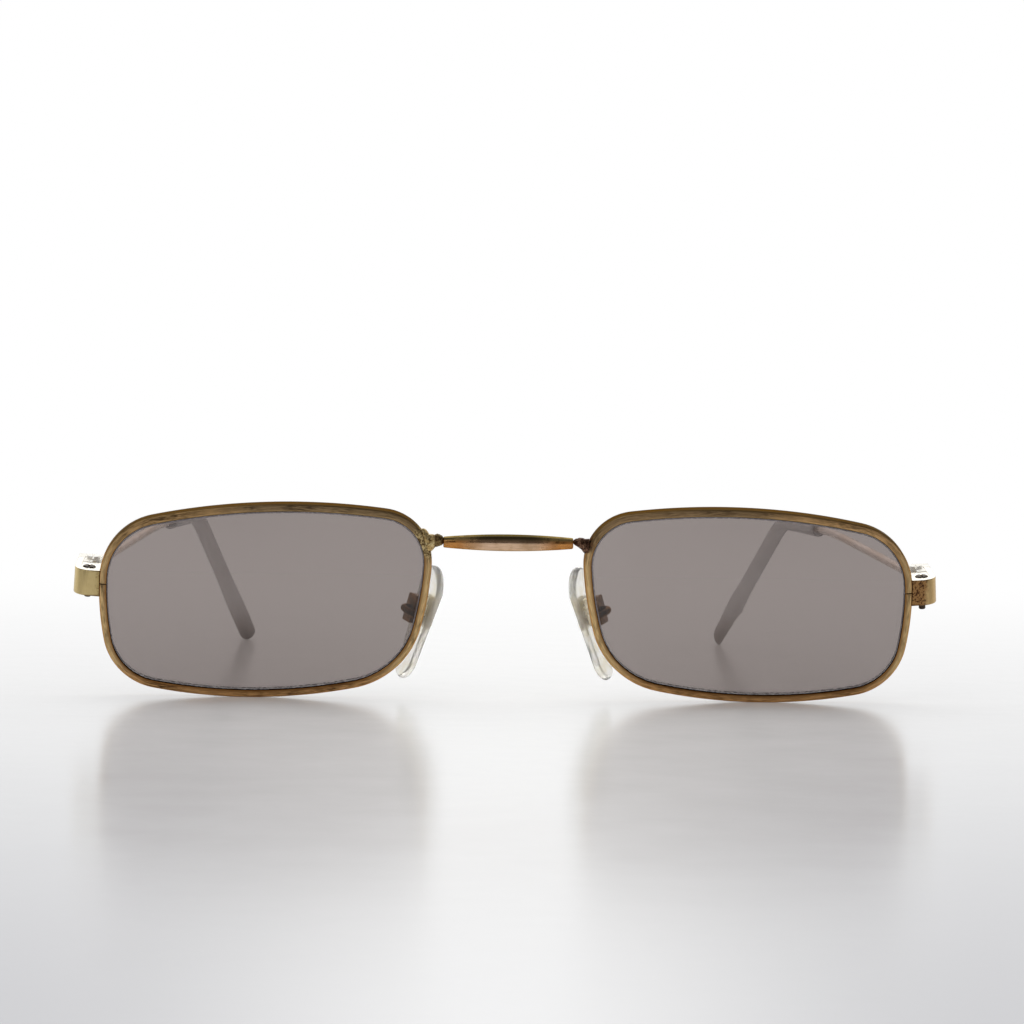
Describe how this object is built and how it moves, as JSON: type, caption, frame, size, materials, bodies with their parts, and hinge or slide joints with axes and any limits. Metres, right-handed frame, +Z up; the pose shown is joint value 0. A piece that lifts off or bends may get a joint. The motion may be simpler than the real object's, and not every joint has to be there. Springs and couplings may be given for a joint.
{
  "type": "narrow rectangle sunglasses",
  "caption": "Wire sunglasses with rounded rectangular tinted lenses, a spindle bridge, closing blocks, folding wire temples, ear tips and rocking nose pads.",
  "frame": {"origin": "middle of the bounding box, on the table that the open spectacles rest on", "axes": "+X towards the wearer's left, +Y back along the open temples, +Z up from the table"},
  "size_m": [0.1282, 0.1246, 0.0291],
  "materials": {
    "gold_plate": "worn gold plate over nickel silver, darkened in the corners",
    "screw_steel": "tarnished small screws",
    "tinted_lens": "smooth grey tint, slightly brown",
    "tip_plastic": "translucent, aged to cream",
    "pad_vinyl": "clear soft vinyl, yellowed at the edges"
  },
  "bodies": {
    "front": {"eyewire_left": "gold_plate", "eyewire_right": "gold_plate", "lens_left": "tinted_lens", "lens_right": "tinted_lens", "bridge_bead_left": "gold_plate", "bridge_bead_right": "gold_plate", "closing_block_upper_left": "gold_plate", "closing_block_upper_right": "gold_plate", "closing_block_lower_left": "gold_plate", "closing_block_lower_right": "gold_plate", "closing_screw_left": "screw_steel", "closing_screw_right": "screw_steel", "end_strap_left": "gold_plate", "end_strap_right": "gold_plate", "hinge_leaf_left": "gold_plate", "hinge_leaf_right": "gold_plate", "hinge_screw_left": "screw_steel", "hinge_screw_right": "screw_steel", "guard_arm_left": "gold_plate", "guard_arm_right": "gold_plate", "pad_box_left": "gold_plate", "pad_box_right": "gold_plate", "pad_screw_left": "screw_steel", "pad_screw_right": "screw_steel", "bridge_bar": "gold_plate"},
    "temple_left": {"temple_hinge_left": "gold_plate", "temple_wire_left": "gold_plate", "ear_tip_left": "tip_plastic"},
    "nose_pad_left": {"nose_pad_left": "pad_vinyl", "pad_insert_left": "screw_steel"},
    "temple_right": {"temple_hinge_right": "gold_plate", "temple_wire_right": "gold_plate", "ear_tip_right": "tip_plastic"},
    "nose_pad_right": {"nose_pad_right": "pad_vinyl", "pad_insert_right": "screw_steel"}
  },
  "joints": [
    {"name": "fold_left", "type": "hinge", "parent": "front", "child": "temple_left", "pos_m": [0.0617, -0.05077, 0.01809], "axis": [-0.0698, -0.1903, 0.9792], "range_deg": [0, 77]},
    {"name": "fold_right", "type": "hinge", "parent": "front", "child": "temple_right", "pos_m": [-0.0617, -0.05077, 0.01809], "axis": [-0.0698, 0.1903, -0.9792], "range_deg": [0, 73]},
    {"name": "pad_rock_left", "type": "hinge", "parent": "front", "child": "nose_pad_left", "pos_m": [0.0133, -0.05139, 0.01313], "axis": [0.4112, 0.8943, 0.1764], "range_deg": [-6, 6]},
    {"name": "pad_rock_right", "type": "hinge", "parent": "front", "child": "nose_pad_right", "pos_m": [-0.0133, -0.05139, 0.01313], "axis": [0.4112, -0.8943, -0.1764], "range_deg": [-6, 6]}
  ]
}
